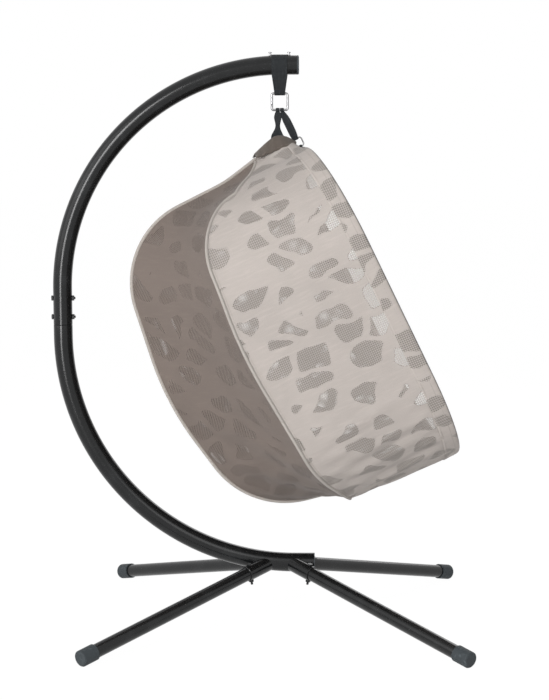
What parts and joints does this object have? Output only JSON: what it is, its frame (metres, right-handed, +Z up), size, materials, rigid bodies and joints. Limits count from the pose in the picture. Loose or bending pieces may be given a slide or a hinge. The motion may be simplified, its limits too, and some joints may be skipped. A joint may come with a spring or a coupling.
{
  "type": "hanging chair",
  "caption": "Pod-shaped hanging chair of printed mesh on sprung hoops, hung by webbing straps and a snap hook from a curved steel stand with splayed legs.",
  "frame": {"origin": "on the floor, under the middle of the box that holds the whole object", "axes": "+Z up; +X from the upright of the arch towards the open front of the chair; +Y to the sitter's left"},
  "size_m": [1.3852, 1.2612, 1.9078],
  "materials": {
    "powder_coat": "satin black powder coat",
    "foot_rubber": "moulded black rubber",
    "cap_plastic": "moulded black plastic",
    "black_fastener": "black oxide",
    "bright_fastener": "bright plating",
    "bright_steel": "zinc plated",
    "spring_steel": "bare spring steel",
    "black_webbing": "woven webbing",
    "crown_cloth": "plain brown cloth",
    "hem_mesh": "doubled printed mesh",
    "side_mesh": "open printed mesh",
    "back_mesh": "open printed mesh",
    "piping_cloth": "plain binding"
  },
  "bodies": {
    "stand": {"arc_end_cap": "cap_plastic", "arc_joint_bolts": "black_fastener", "arc_joint_nuts": "black_fastener", "foot_cap_back_left": "foot_rubber", "foot_cap_back_right": "foot_rubber", "foot_cap_front_left": "foot_rubber", "foot_cap_front_right": "foot_rubber", "hub_end_plug": "cap_plastic", "leg_back_left": "powder_coat", "leg_back_right": "powder_coat", "leg_bolts": "black_fastener", "leg_front_left": "powder_coat", "leg_front_right": "powder_coat", "leg_nuts": "black_fastener", "lower_frame": "powder_coat", "strap_stop_bolts": "bright_fastener", "upper_arc_tube": "powder_coat"},
    "hanger": {"hanger_loop": "black_webbing"},
    "hook": {"hook_body": "bright_steel", "hook_gate_pin": "bright_steel"},
    "gate": {"hook_gate": "bright_steel"},
    "chair": {"back_panel_left": "back_mesh", "back_panel_right": "back_mesh", "back_rib": "spring_steel", "back_rib_sleeve": "piping_cloth", "crown_tab": "crown_cloth", "front_d_ring": "bright_steel", "front_hem": "hem_mesh", "front_hoop": "spring_steel", "front_ring_tab": "black_webbing", "front_strap": "black_webbing", "rear_strap": "black_webbing", "side_panel_left": "side_mesh", "side_panel_right": "side_mesh", "side_rib": "spring_steel", "side_rib_sleeve": "piping_cloth"}
  },
  "joints": [
    {"name": "hanger_sway", "type": "hinge", "parent": "stand", "child": "hanger", "pos_m": [0.07618, 0, 1.865], "axis": [1, 0, 0], "range_deg": [-15, 15]},
    {"name": "hook_swing", "type": "hinge", "parent": "hanger", "child": "hook", "pos_m": [0.07618, 0, 1.772], "axis": [0, -1, 0], "range_deg": [-12, 20], "deforming": ["hanger_loop"]},
    {"name": "gate_open", "type": "hinge", "parent": "hook", "child": "gate", "pos_m": [0.05018, 0, 1.7365], "axis": [0, 1, 0], "range_deg": [0, 24], "stiffness_Nm_per_rad": 0.03, "springref_deg": -8.59},
    {"name": "chair_turn", "type": "hinge", "parent": "hook", "child": "chair", "pos_m": [0.07618, 0, 1.718], "axis": [0, 0, 1], "range_deg": [-40, 40], "stiffness_Nm_per_rad": 0.8, "deforming": ["front_strap", "rear_strap"]}
  ]
}
